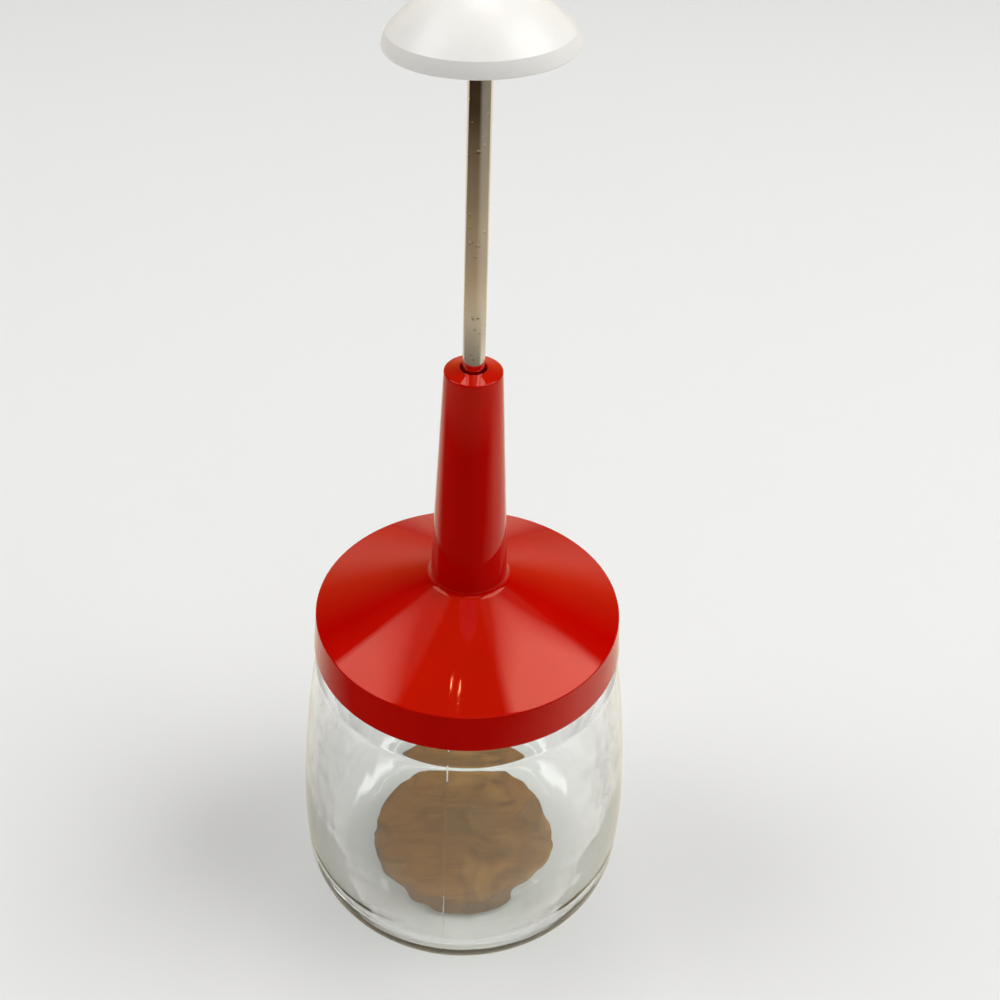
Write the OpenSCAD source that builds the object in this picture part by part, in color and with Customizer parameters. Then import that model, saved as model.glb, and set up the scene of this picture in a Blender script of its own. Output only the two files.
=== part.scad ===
// Plunger food chopper: a glass jar that holds a loose wooden disc, and a screw lid whose
// tall hollow tower guides a sprung rod, with a knob above it and folded blades below it.
// The origin is at the centre of the jar's base, +Z is up, and the plunger is up.

/* [Jar] */
// Height of the side, from the base up to the shoulder
side_h = 87; // [74:0.5:110]
// How far the belly stands out beyond the top of the side, on the radius
belly = 5.9; // [3:0.1:12]
// Height at which the glass is widest
belly_z = 26; // [20:1:36]
// Radius of the rounded heel
heel_r = 15.4; // [10:0.1:18]
// Thickness of the glass at the side
glass_wall = 3.2; // [2.5:0.1:4.5]
// How much thicker the glass gets on its way down to the heel
heel_wall = 2; // [0:0.1:3]
// Thickness of the glass at the bottom
floor_t = 6; // [4:0.5:9]
// Radius of the hollow between the side and the bottom
inner_heel_r = 12; // [8:0.5:14]
// Height of the push-up under the base
push_up = 1.2; // [0.5:0.1:2]
// Height of the sloping shoulder, from the side up to the neck
shoulder_h = 7; // [4:0.5:12]
// Height of the neck above the shoulder
neck_h = 6; // [5:0.1:12]
// Thickness of the glass at the neck
neck_wall = 2.4; // [2:0.1:3]

/* [Lid] */
// Diameter of the edge between the lid's cone and its skirt
lid_d = 83; // [70:0.5:105]
// How far the skirt flares out on the radius, down to its rim
skirt_flare = 0.9; // [0:0.1:1.5]
// How far the skirt's rim comes down past the top of the jar's shoulder
skirt_lap = 1.1; // [0:0.1:2]
// Thickness of the skirt's wall
skirt_wall = 1.6; // [1.2:0.1:2.5]
// Thickness of the cone's wall
cone_wall = 2; // [1.5:0.1:3]
// Height of the lid's edge above the landing of the liner
edge_t = 3.2; // [2.5:0.1:5]
// Height of the cone
cone_h = 12.8; // [8:0.1:20]
// Thickness of the liner
liner_t = 1.2; // [0.8:0.1:2]

/* [Tower] */
// Thickness of the tower's wall
tower_wall = 2.15; // [1.5:0.05:3]
// How much the tower's radius grows from its top to its foot
tower_taper = 3.1; // [1:0.1:4]
// Radius of the fillet at the tower's foot
foot_fillet = 1.8; // [1:0.1:3]
// Thickness of the tower's closed top, at the hole
tower_top_t = 3.7; // [2.5:0.1:5]
// How much the top rises from its rim to the hole
tower_crown = 0.8; // [0:0.1:1.5]

/* [Plunger] */
// Diameter of the rod
rod_d = 5.4; // [4.5:0.1:7]
// Drop from the guide bush to the blades' washer, plunger up
park_drop = 13.7; // [1:0.1:16]
// Height of the knob above the tower, plunger down
knob_clear = 21.8; // [1:0.1:40]
// Diameter of the rod's tenon at the blades
tenon_d = 3.9; // [3:0.1:4]

/* [Knob] */
// Diameter of the knob
knob_d = 40.9; // [32:0.1:52]
// Height of the knob's leaning band
knob_band = 3.4; // [3:0.1:6]
// How far the band leans in on the radius
knob_lean = 1; // [0:0.1:3]
// Height of the knob
knob_h = 13.4; // [11:0.1:18]
// Thickness of the knob's shell
knob_wall = 2; // [1.5:0.1:2.5]
// Number of ribs inside the knob
knob_ribs = 6; // [4:1:8]

/* [Return spring] */
// Diameter of the spring's wire
wire_d = 0.9; // [0.7:0.05:1]
// Number of curls
curls = 13; // [8:1:16]
// Length of the spring beyond its touching curls, plunger down
spring_spare = 0.96; // [0.9:0.01:5]

/* [Blades] */
// Height of the blades
blade_h = 18; // [12:1:22]
// Thickness of the blade strip
blade_t = 0.6; // [0.4:0.1:0.8]
// Radius of the outer folds
fold_out_r = 19.5; // [17:0.5:22]
// Radius of the inner folds
fold_in_r = 8.5; // [8:0.5:10]
// Number of folds in each strip, ends included
folds = 7; // [5:2:7]
// Height of the ground edge
edge_h = 2.4; // [1:0.1:4]
// Thickness of the carrier plate
carrier_t = 1; // [0.8:0.1:1.5]
// Depth of the carrier's turned-down rim
carrier_rim = 3; // [2:0.5:4]

/* [Chopping disc] */
// Room round the wooden disc on the jar's flat floor, on the radius
disc_room = 4; // [2:0.1:9]
// Thickness of the wooden disc
disc_t = 7; // [5:0.5:10]

/* [Fits] */
// Gap between the rod and the guide bush, on the radius
guide_gap = 0.05; // [0.02:0.01:0.1]
// Gap between the rod and the hole in the tower's top, on the radius
hole_gap = 0.6; // [0.4:0.05:0.8]
// Gap between the rod and the spring, on the radius
rod_spring_gap = 0.95; // [0.5:0.05:1.5]
// Gap between the spring and the tower's bore, on the radius
spring_bore_gap = 0.5; // [0.4:0.05:1]
// Gap between pieces that pass or rest close to each other
run_gap = 0.3; // [0.2:0.05:0.4]
// Gap between pieces that are pressed or seated together
seat_gap = 0.04; // [0.02:0.01:0.08]
// Room for the screw thread between neck and skirt, on the radius
thread_room = 1.3; // [1:0.1:2]

/* [Hidden] */
$fn = 96;

// Lid and neck, from the lid's edge inwards
lid_r = lid_d / 2;
skirt_in_r = lid_r - skirt_wall;
neck_r = skirt_in_r - thread_room;
throat_r = neck_r - neck_wall;
neck_z = side_h + shoulder_h;
lip_z = neck_z + neck_h;
landing_z = lip_z + liner_t;
edge_z = landing_z + edge_t;
skirt_z = neck_z - skirt_lap;
skirt_out_r = lid_r + skirt_flare;
cone_top_z = edge_z + cone_h;

// Glass: the side ends under the skirt's rim, as wide as the skirt
belly_r = skirt_out_r + belly;
side_power = 1.735;
side_steps = 14;
heel_pinch = 0.4;
heel_wall_z = 42;
shoulder_round = 1;
throat_rise = 0.5;
throat_drop = 1.8;
lip_round = 0.9;
foot_ring_w = 5.5;
foot_slope_w = 5;

// Wooden disc, loose on the flat of the floor, and resting against the heel at the front
heel_gap = 0.6;
disc_top_z = floor_t + disc_t;

// Guide bush, pressed into the boss at the tower's foot
bush_drop = 1.4;
bush_flange_t = 1.5;
bush_plug_h = 3;
bush_step = 0.25;
boss_wall = 1.8;
bush_z = edge_z - bush_drop;
boss_z = bush_z + bush_flange_t;
spring_z = boss_z + bush_plug_h;

// Blades hang from the bush, and the stroke takes them down to the disc
blade_washer_t = 1;
blade_washer_r = 6;
carrier_room = 1.6;
shoulder_z = bush_z - park_drop;
carrier_z = shoulder_z - blade_washer_t - carrier_t;
blade_z = carrier_z - blade_h;
stroke = blade_z - disc_top_z - run_gap;
carrier_in_r = fold_out_r + carrier_room;
carrier_r = carrier_in_r + carrier_t;
tenon_r = tenon_d / 2;
nut_h = 3.2;
nut_across = 7;
tenon_proud = 0.8;
tenon_z = carrier_z - nut_h - tenon_proud;

// Spring and the stops above it, from the bush up to the tower's closed top
clip_t = 0.8;
washer_t = 0.8;
spring_h = stroke + curls * wire_d + spring_spare;
washer_z = spring_z + spring_h;
clip_z = washer_z + washer_t + seat_gap;
bore_top_z = clip_z + clip_t + run_gap;
tower_z = bore_top_z + tower_top_t;
rim_z = tower_z - tower_crown;
tower_h = rim_z - cone_top_z;

// Radii of the bore that the spring works in
rod_r = rod_d / 2;
groove_r = rod_r - 0.5;
spring_r = rod_r + rod_spring_gap + wire_d / 2;
bore_top_r = spring_r + wire_d / 2 + spring_bore_gap;
washer_r = bore_top_r - run_gap;
clip_r = washer_r - 0.2;
tower_top_r = bore_top_r + tower_wall;
tower_foot_r = tower_top_r + tower_taper;
taper_slope = tower_taper / tower_h;
bush_plug_r = bore_top_r + taper_slope * (bore_top_z - spring_z) + bush_step;
boss_r = bush_plug_r + boss_wall;

// Knob, clear of the tower's top with the plunger down
knob_z = tower_z + stroke + knob_clear;
knob_r = knob_d / 2;
boss_depth = knob_h - knob_wall - 0.8;
knob_boss_r = rod_r + 2.6;
rod_top_z = knob_z + boss_depth;
fold_step = 360 / 14;
tab_w = 4;
tab_proud = 0.7;
tab_straights = [0, 2, 3, 5];

// Points of an arc about [x, z], from angle a0 to a1
function arc(x, z, r, a0, a1, n = 8) =
    [for (i = [0:n]) let (a = a0 + (a1 - a0) * i / n) [x + r * cos(a), z + r * sin(a)]];

function unit(v) = v / norm(v);

// Points of a round of radius r in the corner c of an outline that runs from p to q
function corner(p, c, q, r, n = 4) =
    let (back = unit(p - c), on = unit(q - c),
         half = acos(back * on) / 2,
         middle = c + unit(back + on) * r / sin(half),
         from = c + back * r / tan(half) - middle,
         to = c + on * r / tan(half) - middle,
         a0 = atan2(from.y, from.x),
         turn = (atan2(to.y, to.x) - a0 + 540) % 360 - 180)
    arc(middle.x, middle.y, r, a0, a0 + turn, n);

// Outside radius of the glass between heel and shoulder
function side_r(z) = z > belly_z
    ? belly_r - belly * pow((z - belly_z) / (side_h - belly_z), side_power)
    : belly_r - heel_pinch * pow((belly_z - z) / (belly_z - heel_r), 2);

// Thickness of the glass at height z
function wall_at(z) = glass_wall + heel_wall * max(0, 1 - z / heel_wall_z);

// Outer side of the glass from z0 to z1, and its inner side
function side(z0, z1) =
    [for (i = [0:side_steps]) let (z = z0 + (z1 - z0) * i / side_steps) [side_r(z), z]];
function inner_side(z0, z1) =
    [for (p = side(z0, z1)) [p.x - wall_at(p.y), p.y]];

// Flat of the jar's floor: the inner heel starts at this radius
inner_z = floor_t + inner_heel_r;
floor_r = side_r(inner_z) - wall_at(inner_z) - inner_heel_r;

module glass_jar() {
    heel_x = side_r(heel_r) - heel_r;
    foot_in_r = heel_x - foot_ring_w;
    side_end = side_h - shoulder_round;
    outside = concat([[0, push_up], [foot_in_r - foot_slope_w, push_up], [foot_in_r, 0]],
                     arc(heel_x, heel_r, heel_r, -90, -6),
                     side(heel_r, side_end),
                     corner([side_r(side_end), side_end], [side_r(side_h), side_h],
                            [neck_r, neck_z], shoulder_round),
                     corner([side_r(side_h), side_h], [neck_r, neck_z],
                            [neck_r, lip_z], shoulder_round),
                     arc(neck_r - lip_round, lip_z - lip_round, lip_round, 0, 90, 5));
    inside = concat(arc(throat_r + lip_round, lip_z - lip_round, lip_round, 90, 180, 5),
                    [[throat_r, neck_z + throat_rise]],
                    inner_side(side_h - throat_drop, inner_z + 1),
                    arc(floor_r, inner_z, inner_heel_r, 0, -90),
                    [[0, floor_t]]);
    color([0.82, 0.9, 0.88, 0.4])
        rotate_extrude()
            polygon(concat(outside, inside));
}

module chopping_disc() {
    bevel = 0.6;
    disc_r = floor_r - disc_room;
    color("peru")
        translate([0, heel_gap - disc_room, floor_t])
            rotate_extrude()
                polygon([[0, 0], [disc_r - bevel, 0], [disc_r, bevel], [disc_r, disc_t - bevel],
                         [disc_r - bevel, disc_t], [0, disc_t]]);
}

module lid_liner() {
    liner_r = skirt_in_r - run_gap;
    color("ivory")
        translate([0, 0, lip_z])
            difference() {
                cylinder(r = liner_r, h = liner_t);
                translate([0, 0, -1])
                    cylinder(r = throat_r - 0.4, h = liner_t + 2);
            }
}

// Height of the cone's outside at radius r
function cone_z(r) = edge_z + cone_h * (lid_r - r) / (lid_r - tower_foot_r);

module lid() {
    slope = atan2(cone_h, lid_r - tower_foot_r);
    drop = cone_wall / cos(slope);
    lean = atan(taper_slope);
    turn = 90 - lean - slope;
    reach = foot_fillet * tan(turn / 2);
    foot_x = tower_foot_r + reach * cos(slope) + foot_fillet * sin(slope);
    foot_z = cone_top_z - reach * sin(slope) + foot_fillet * cos(slope);
    landing_r = throat_r - 1;
    hole_r = rod_r + hole_gap;
    rise = atan2(tower_crown, tower_top_r - hole_r);
    outside = concat([[skirt_out_r - 0.3, skirt_z], [skirt_out_r, skirt_z + 0.3]],
                     arc(lid_r - 0.4, edge_z - 0.4, 0.4, 0, 90 - slope, 3),
                     arc(foot_x, foot_z, foot_fillet, 270 - slope, 180 + lean, 6),
                     arc(tower_top_r - 0.4, rim_z - 0.4, 0.4, lean, 90 - rise, 4));
    inside = [[hole_r, tower_z], [hole_r, bore_top_z],
              [bore_top_r, bore_top_z],
              [bush_plug_r - bush_step, spring_z], [bush_plug_r, spring_z],
              [bush_plug_r, boss_z], [boss_r, boss_z],
              [boss_r, cone_z(boss_r) - drop], [landing_r, cone_z(landing_r) - drop],
              [landing_r, landing_z], [skirt_in_r, landing_z],
              [skirt_in_r + skirt_flare, skirt_z]];
    color("firebrick")
        rotate_extrude()
            polygon(concat(outside, inside));
}

module guide_bush() {
    bore_r = rod_r + guide_gap;
    color("whitesmoke")
        translate([0, 0, bush_z])
            difference() {
                union() {
                    cylinder(r = boss_r, h = bush_flange_t - seat_gap);
                    cylinder(r = bush_plug_r - seat_gap, h = bush_flange_t + bush_plug_h - seat_gap);
                }
                translate([0, 0, -1])
                    cylinder(r = bore_r, h = bush_flange_t + bush_plug_h + 2);
            }
}

// Centre line of the spring: a straight end, the helix, a straight end
RINGS = 8;
helix_z0 = spring_z + wire_d;
helix_z1 = spring_z + spring_h - wire_d;
function helix(i) = let (a = 360 * i / RINGS, t = i / (RINGS * curls))
    [spring_r * cos(a), spring_r * sin(a), helix_z0 + (helix_z1 - helix_z0) * t];
spring_path = concat([[spring_r, 0, spring_z + seat_gap]],
                     [for (i = [0:RINGS * curls]) helix(i)],
                     [[spring_r, 0, spring_z + spring_h - seat_gap]]);

// Ring of points about point i of a path that winds round the Z axis
function tube_ring(path, i, r, sides) =
    let (last = len(path) - 1,
         along = unit(path[min(i + 1, last)] - path[max(i - 1, 0)]),
         out = unit([path[i].x, path[i].y, 0]),
         level = unit(out - along * (out * along)),
         across = cross(along, level))
    [for (k = [0:sides - 1]) let (a = 360 * k / sides)
        path[i] + r * (cos(a) * level + sin(a) * across)];

// One closed tube of triangles along a path
module tube(path, r, sides) {
    rings = len(path);
    points = [for (i = [0:rings - 1]) each tube_ring(path, i, r, sides)];
    walls = [for (i = [0:rings - 2], k = [0:sides - 1])
        let (a = i * sides + k, b = i * sides + (k + 1) % sides)
        each [[a, a + sides, b], [b, a + sides, b + sides]]];
    start = [for (k = [1:sides - 2]) [0, k, k + 1]];
    base = (rings - 1) * sides;
    end = [for (k = [1:sides - 2]) [base, base + k + 1, base + k]];
    polyhedron(points, concat(walls, start, end));
}

// Least gap between one curl and the next, along the wire
curl_gaps = [for (i = [0:len(spring_path) - RINGS - 1])
    norm(spring_path[i + RINGS] - spring_path[i]) - wire_d];
echo(least_gap_of_return_spring = min(curl_gaps));
echo(travel_of_plunger = stroke);

module return_spring() {
    color("silver")
        tube(spring_path, wire_d / 2, 6);
}

module spring_washer() {
    color("gainsboro")
        translate([0, 0, washer_z])
            difference() {
                cylinder(r = washer_r, h = washer_t);
                translate([0, 0, -1])
                    cylinder(r = rod_r + guide_gap, h = washer_t + 2);
            }
}

// Open ring that snaps into the rod's groove, with three inner teeth
module retaining_clip() {
    relief_r = groove_r + 0.75;
    color("dimgray")
        translate([0, 0, clip_z])
            linear_extrude(clip_t)
                difference() {
                    circle(r = clip_r);
                    circle(r = groove_r + seat_gap);
                    translate([0, -groove_r * 0.8])
                        square([clip_r + 1, groove_r * 1.6]);
                    for (a = [60, 180, 300])
                        rotate(a)
                            translate([relief_r, 0])
                                circle(r = 0.7);
                }
}

module plunger_rod() {
    color("silver")
        rotate_extrude()
            polygon([[0, tenon_z], [tenon_r - 0.3, tenon_z], [tenon_r, tenon_z + 0.3],
                     [tenon_r, shoulder_z], [rod_r, shoulder_z],
                     [rod_r, clip_z - seat_gap], [groove_r, clip_z - seat_gap],
                     [groove_r, clip_z + clip_t + seat_gap], [rod_r, clip_z + clip_t + seat_gap],
                     [rod_r, rod_top_z - 0.5], [rod_r - 0.5, rod_top_z], [0, rod_top_z]]);
}

// Crown of the knob, a shallow dome of radius r and height h that stands on z
function crown(r, h, z, n = 16) =
    [for (i = [0:n]) let (t = i / n) [r * (1 - t), z + h * (1 - pow(1 - t, 2))]];

// Solid inside the knob's outline, moved in by a wall
module knob_form(inset) {
    r = knob_r - inset;
    edge_r = r - knob_lean;
    rotate_extrude()
        polygon(concat([[0, 0], [r - 0.5, 0], [r, 0.5], [r - knob_lean * 0.3, knob_band * 0.55]],
                       crown(edge_r, knob_h - knob_band - inset, knob_band)));
}

module knob() {
    rib_t = 1.4;
    rib_drop = 1.5;
    boss_z0 = 1;
    color("ivory")
        translate([0, 0, knob_z])
            difference() {
                union() {
                    difference() {
                        knob_form(0);
                        translate([0, 0, -0.01])
                            knob_form(knob_wall);
                    }
                    intersection() {
                        knob_form(knob_wall / 2);
                        union() {
                            translate([0, 0, boss_z0])
                                cylinder(r = knob_boss_r, h = knob_h);
                            for (i = [0:knob_ribs - 1])
                                rotate(360 * i / knob_ribs)
                                    translate([0, -rib_t / 2, rib_drop])
                                        cube([knob_r, rib_t, knob_h]);
                        }
                    }
                }
                translate([0, 0, -1])
                    cylinder(r = rod_r + seat_gap, h = boss_depth + 1 + seat_gap);
            }
}

module blade_washer() {
    color("gainsboro")
        translate([0, 0, carrier_z + carrier_t])
            difference() {
                cylinder(r = blade_washer_r, h = blade_washer_t);
                translate([0, 0, -1])
                    cylinder(r = tenon_r + seat_gap, h = blade_washer_t + 2);
            }
}

// Folds of one strip: half a star, out and in by turns
function fold(i) = let (a = 270 + fold_step * (i - (folds - 1) / 2))
    (i % 2 == 0 ? fold_out_r : fold_in_r) * [cos(a), sin(a)];
fold_points = [for (i = [0:folds - 1]) fold(i)];

// Places children at the middle of straight i of a strip, with X along it
module on_straight(i) {
    run = fold_points[i + 1] - fold_points[i];
    translate((fold_points[i] + fold_points[i + 1]) / 2)
        rotate(atan2(run.y, run.x))
            children();
}

// Both sides of the strip at half thickness w, mitred at the folds
function left_of(v) = [-v.y, v.x];
function fold_side(i, w) =
    let (last = folds - 1,
         before = unit(fold_points[max(i, 1)] - fold_points[max(i, 1) - 1]),
         after = unit(fold_points[min(i, last - 1) + 1] - fold_points[min(i, last - 1)]),
         mitre = unit(left_of(before) + left_of(after)))
    fold_points[i] + mitre * w / (mitre * left_of(before));

// Strip as three levels of its outline: sharp edge, top of the ground edge, top
module folded_strip() {
    levels = [[0, 0.05], [edge_h, blade_t / 2], [blade_h, blade_t / 2]];
    points = [for (level = levels) each concat(
        [for (i = [0:folds - 1]) let (p = fold_side(i, -level[1])) [p.x, p.y, level[0]]],
        [for (i = [folds - 1:-1:0]) let (p = fold_side(i, level[1])) [p.x, p.y, level[0]]])];
    ring = 2 * folds;
    walls = [for (j = [0:len(levels) - 2], k = [0:ring - 1])
        let (a = j * ring + k, b = j * ring + (k + 1) % ring)
        each [[a, a + ring, b], [b, a + ring, b + ring]]];
    top = (len(levels) - 1) * ring;
    caps = [for (k = [0:folds - 2]) let (m = ring - 1 - k)
        each [[k, k + 1, m], [k + 1, m - 1, m],
              [top + k, top + m, top + k + 1], [top + k + 1, top + m, top + m - 1]]];
    polyhedron(points, concat(walls, caps));
}

// One blade: the folded strip and the tabs that pass through the carrier
module blade() {
    translate([0, 0, blade_z]) {
        folded_strip();
        for (i = tab_straights)
            on_straight(i)
                translate([-tab_w / 2, -blade_t / 2, blade_h - 1])
                    cube([tab_w, blade_t, 1 + carrier_t + tab_proud]);
    }
}

module front_blade() {
    color("lightsteelblue")
        blade();
}

module rear_blade() {
    color("lightsteelblue")
        rotate(180)
            blade();
}

// Pressed plate with a turned-down rim, slots for the blades' tabs and round windows
module blade_carrier() {
    slot_w = tab_w + 0.2;
    slot_t = blade_t + 0.1;
    color("silver")
        difference() {
            translate([0, 0, carrier_z - carrier_rim])
                cylinder(r = carrier_r, h = carrier_rim + carrier_t);
            translate([0, 0, carrier_z - carrier_rim - 1])
                cylinder(r = carrier_in_r, h = carrier_rim + 1);
            translate([0, 0, carrier_z - 1])
                cylinder(r = tenon_r + seat_gap, h = carrier_t + 2);
            for (half = [0, 180], i = tab_straights)
                rotate(half)
                    on_straight(i)
                        translate([-slot_w / 2, -slot_t / 2, carrier_z - 1])
                            cube([slot_w, slot_t, carrier_t + 2]);
            for (half = [0, 180])
                rotate(half)
                    translate([carrier_in_r - 5, 0, carrier_z - 1])
                        cylinder(r = 3, h = carrier_t + 2);
        }
}

module blade_nut() {
    color("silver")
        translate([0, 0, carrier_z - nut_h])
            difference() {
                cylinder(d = nut_across / cos(30), h = nut_h, $fn = 6);
                translate([0, 0, -1])
                    cylinder(r = tenon_r + seat_gap, h = nut_h + 2);
            }
}

glass_jar();
chopping_disc();
lid_liner();
lid();
guide_bush();
return_spring();
spring_washer();
retaining_clip();
plunger_rod();
knob();
blade_washer();
blade_carrier();
front_blade();
rear_blade();
blade_nut();
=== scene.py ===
"""Looks of a plunger food chopper: glass jar, red screw lid with a tower, sprung plunger and knob.

Lengths of the pieces are in millimetres and those of the stage in metres, in the frame of the
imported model: the origin is at the centre of the jar's base and +Z is up.
"""

import logging
import math
from dataclasses import dataclass
from enum import Enum
from functools import cache
from typing import Callable, Iterable, Sequence, Union

import bpy
from mathutils import Euler, Matrix, Quaternion, Vector


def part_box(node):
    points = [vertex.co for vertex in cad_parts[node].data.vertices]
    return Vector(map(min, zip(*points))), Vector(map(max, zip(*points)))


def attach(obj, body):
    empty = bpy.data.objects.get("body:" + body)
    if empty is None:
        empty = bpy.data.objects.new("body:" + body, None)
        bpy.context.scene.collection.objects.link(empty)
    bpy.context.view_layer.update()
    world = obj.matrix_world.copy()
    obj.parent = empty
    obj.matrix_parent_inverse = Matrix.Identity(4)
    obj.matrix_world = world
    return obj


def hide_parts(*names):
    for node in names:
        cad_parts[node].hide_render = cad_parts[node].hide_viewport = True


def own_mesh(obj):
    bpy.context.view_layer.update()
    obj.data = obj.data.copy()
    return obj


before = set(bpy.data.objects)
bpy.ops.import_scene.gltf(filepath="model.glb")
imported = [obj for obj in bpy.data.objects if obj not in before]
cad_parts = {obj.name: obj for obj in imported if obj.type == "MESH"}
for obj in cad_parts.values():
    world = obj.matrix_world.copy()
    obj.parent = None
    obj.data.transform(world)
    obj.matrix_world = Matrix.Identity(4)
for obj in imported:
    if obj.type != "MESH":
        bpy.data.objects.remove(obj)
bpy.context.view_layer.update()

LOG = logging.getLogger("food_chopper")
MM = 0.001
MERGE = 1e-6
SMOOTH_ANGLE = 32.0
THREAD_LEAD = 4.5
THREAD_STEPS = 72

Object = bpy.types.Object
Material = bpy.types.Material
Tree = bpy.types.NodeTree
Node = bpy.types.Node
Socket = bpy.types.NodeSocket
Point = tuple[float, float]
Colour = tuple[float, float, float]
Value = Union[Socket, float]
Tone = Union[Socket, Colour]


class Body(Enum):
    """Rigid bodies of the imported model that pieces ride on."""

    JAR = "jar"
    LINER = "liner"
    LID = "lid"
    COLLAR = "collar"
    PLUNGER = "plunger"


class Slot(Enum):
    """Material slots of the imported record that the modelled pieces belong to."""

    GLASS = "clear_glass"
    WOOD = "chopping_wood"
    RED = "lid_red"
    KNOB = "knob_white"
    LINER = "liner_board"
    NYLON = "bush_nylon"
    CHROME = "rod_chrome"
    SPRING = "spring_steel"
    BLADE = "blade_steel"


# ---- mesh helpers


def deselect_all() -> None:
    """Leaves nothing selected, in object mode."""
    if bpy.context.mode != "OBJECT":
        bpy.ops.object.mode_set(mode="OBJECT")
    bpy.ops.object.select_all(action="DESELECT")


def pick(obj: Object) -> None:
    """Makes one object the only selected one, and active.

    Args:
        obj: The object.
    """
    deselect_all()
    obj.select_set(True)
    bpy.context.view_layer.objects.active = obj


def node_box(node: str) -> tuple[Vector, Vector]:
    """Lowest and highest corner of a node of the frame, in millimetres."""
    low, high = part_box(node)
    return low / MM, high / MM


def arc(x: float, z: float, radius: float, start: float, end: float, steps: int) -> list[Point]:
    """Points of an arc of a profile.

    Args:
        x: Centre, from the axis.
        z: Height of the centre.
        radius: Radius of the arc.
        start: First angle in degrees, 0 pointing outwards and 90 up.
        end: Last angle in degrees.
        steps: Number of straight stretches.

    Returns:
        The points, from start to end.
    """
    angles = [math.radians(start + (end - start) * i / steps) for i in range(steps + 1)]
    return [(x + radius * math.cos(a), z + radius * math.sin(a)) for a in angles]


def soften(points: Sequence[Point], rounds: int = 1) -> list[Point]:
    """Cuts the corners of an open profile, which keeps its two ends.

    Args:
        points: The profile.
        rounds: How often the corners are cut.

    Returns:
        The smoother profile.
    """
    path = list(points)
    for _ in range(rounds):
        cut = [path[0]]
        for (x0, z0), (x1, z1) in zip(path, path[1:]):
            cut.append((0.75 * x0 + 0.25 * x1, 0.75 * z0 + 0.25 * z1))
            cut.append((0.25 * x0 + 0.75 * x1, 0.25 * z0 + 0.75 * z1))
        cut.append(path[-1])
        path = cut
    return path


def hold(points: Sequence[Point], reach: float = 3.0, near: float = 0.3) -> list[Point]:
    """Adds a point close to each end of the long straight stretches of a profile.

    The shading of a long stretch then stays true to its slope.

    Args:
        points: The profile, in millimetres.
        reach: Stretches longer than this get the points.
        near: Distance of the new points from the ends.

    Returns:
        The profile with the added points.
    """
    path = [points[0]]
    for (x0, z0), (x1, z1) in zip(points, points[1:]):
        length = math.hypot(x1 - x0, z1 - z0)
        if length > reach:
            part = near / length
            for share in (part, 1.0 - part):
                path.append((x0 + (x1 - x0) * share, z0 + (z1 - z0) * share))
        path.append((x1, z1))
    return path


def added(name: str) -> Object:
    """Names the mesh object that an operator has just added.

    Args:
        name: Name of the object and of its mesh.

    Returns:
        The object.
    """
    obj = bpy.context.active_object
    obj.name = obj.data.name = name
    return obj


def edit_all(obj: Object) -> None:
    """Opens an object for editing, with all of its mesh selected.

    Args:
        obj: The object.
    """
    pick(obj)
    bpy.ops.object.mode_set(mode="EDIT")
    bpy.ops.mesh.select_all(action="SELECT")


def draw_path(name: str, points: Sequence[Point]) -> Object:
    """Draws a profile as a chain of edges in the XZ plane, by extruding a vertex.

    Args:
        name: Name of the object.
        points: The profile, as distance from the axis and height.

    Returns:
        The object, left in edit mode with its last vertex selected.
    """
    deselect_all()
    first_x, first_z = points[0]
    bpy.ops.mesh.primitive_plane_add(size=MM, location=(first_x * MM, 0.0, first_z * MM))
    obj = added(name)
    edit_all(obj)
    bpy.ops.mesh.merge(type="CENTER")
    for (x0, z0), (x1, z1) in zip(points, points[1:]):
        step = ((x1 - x0) * MM, 0.0, (z1 - z0) * MM)
        bpy.ops.mesh.extrude_region_move(TRANSFORM_OT_translate={"value": step})
    return obj


def settle(obj: Object) -> None:
    """Puts the object's origin at the world's, with its place in its mesh."""
    pick(obj)
    bpy.ops.object.transform_apply(location=True, rotation=True, scale=True)


def smooth(obj: Object, angle: float) -> None:
    """Shades smooth all edges flatter than an angle in degrees."""
    pick(obj)
    bpy.ops.object.shade_smooth_by_angle(angle=math.radians(angle))


def lathe(name: str, points: Sequence[Point], steps: int = 96,
          angle: float = SMOOTH_ANGLE) -> Object:
    """Turns a profile round the Z axis into a closed body.

    Args:
        name: Name of the object.
        points: The profile. It ends on the axis, or where it started.
        steps: Number of stretches in the full turn.
        angle: Edges flatter than this, in degrees, are shaded smooth.

    Returns:
        The object, in object mode, with its origin at the world's.
    """
    obj = draw_path(name, points)
    bpy.ops.mesh.select_all(action="SELECT")
    bpy.ops.mesh.spin(steps=steps, angle=math.tau, center=(0, 0, 0), axis=(0, 0, 1))
    bpy.ops.mesh.select_all(action="SELECT")
    bpy.ops.mesh.remove_doubles(threshold=MERGE)
    bpy.ops.mesh.normals_make_consistent(inside=False)
    bpy.ops.object.mode_set(mode="OBJECT")
    settle(obj)
    smooth(obj, angle)
    return obj


def apply_modifiers(obj: Object) -> None:
    """Applies every modifier of an object, in their order.

    Args:
        obj: The object.
    """
    pick(obj)
    for modifier in list(obj.modifiers):
        bpy.ops.object.modifier_apply(modifier=modifier.name)


def join(main: Object, others: Iterable[Object]) -> Object:
    """Joins other meshes into the main one, as solids of one piece.

    Args:
        main: The object that stays.
        others: The objects that become part of it.

    Returns:
        The main object.
    """
    deselect_all()
    for other in others:
        other.select_set(True)
    main.select_set(True)
    bpy.context.view_layer.objects.active = main
    bpy.ops.object.join()
    return main


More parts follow.
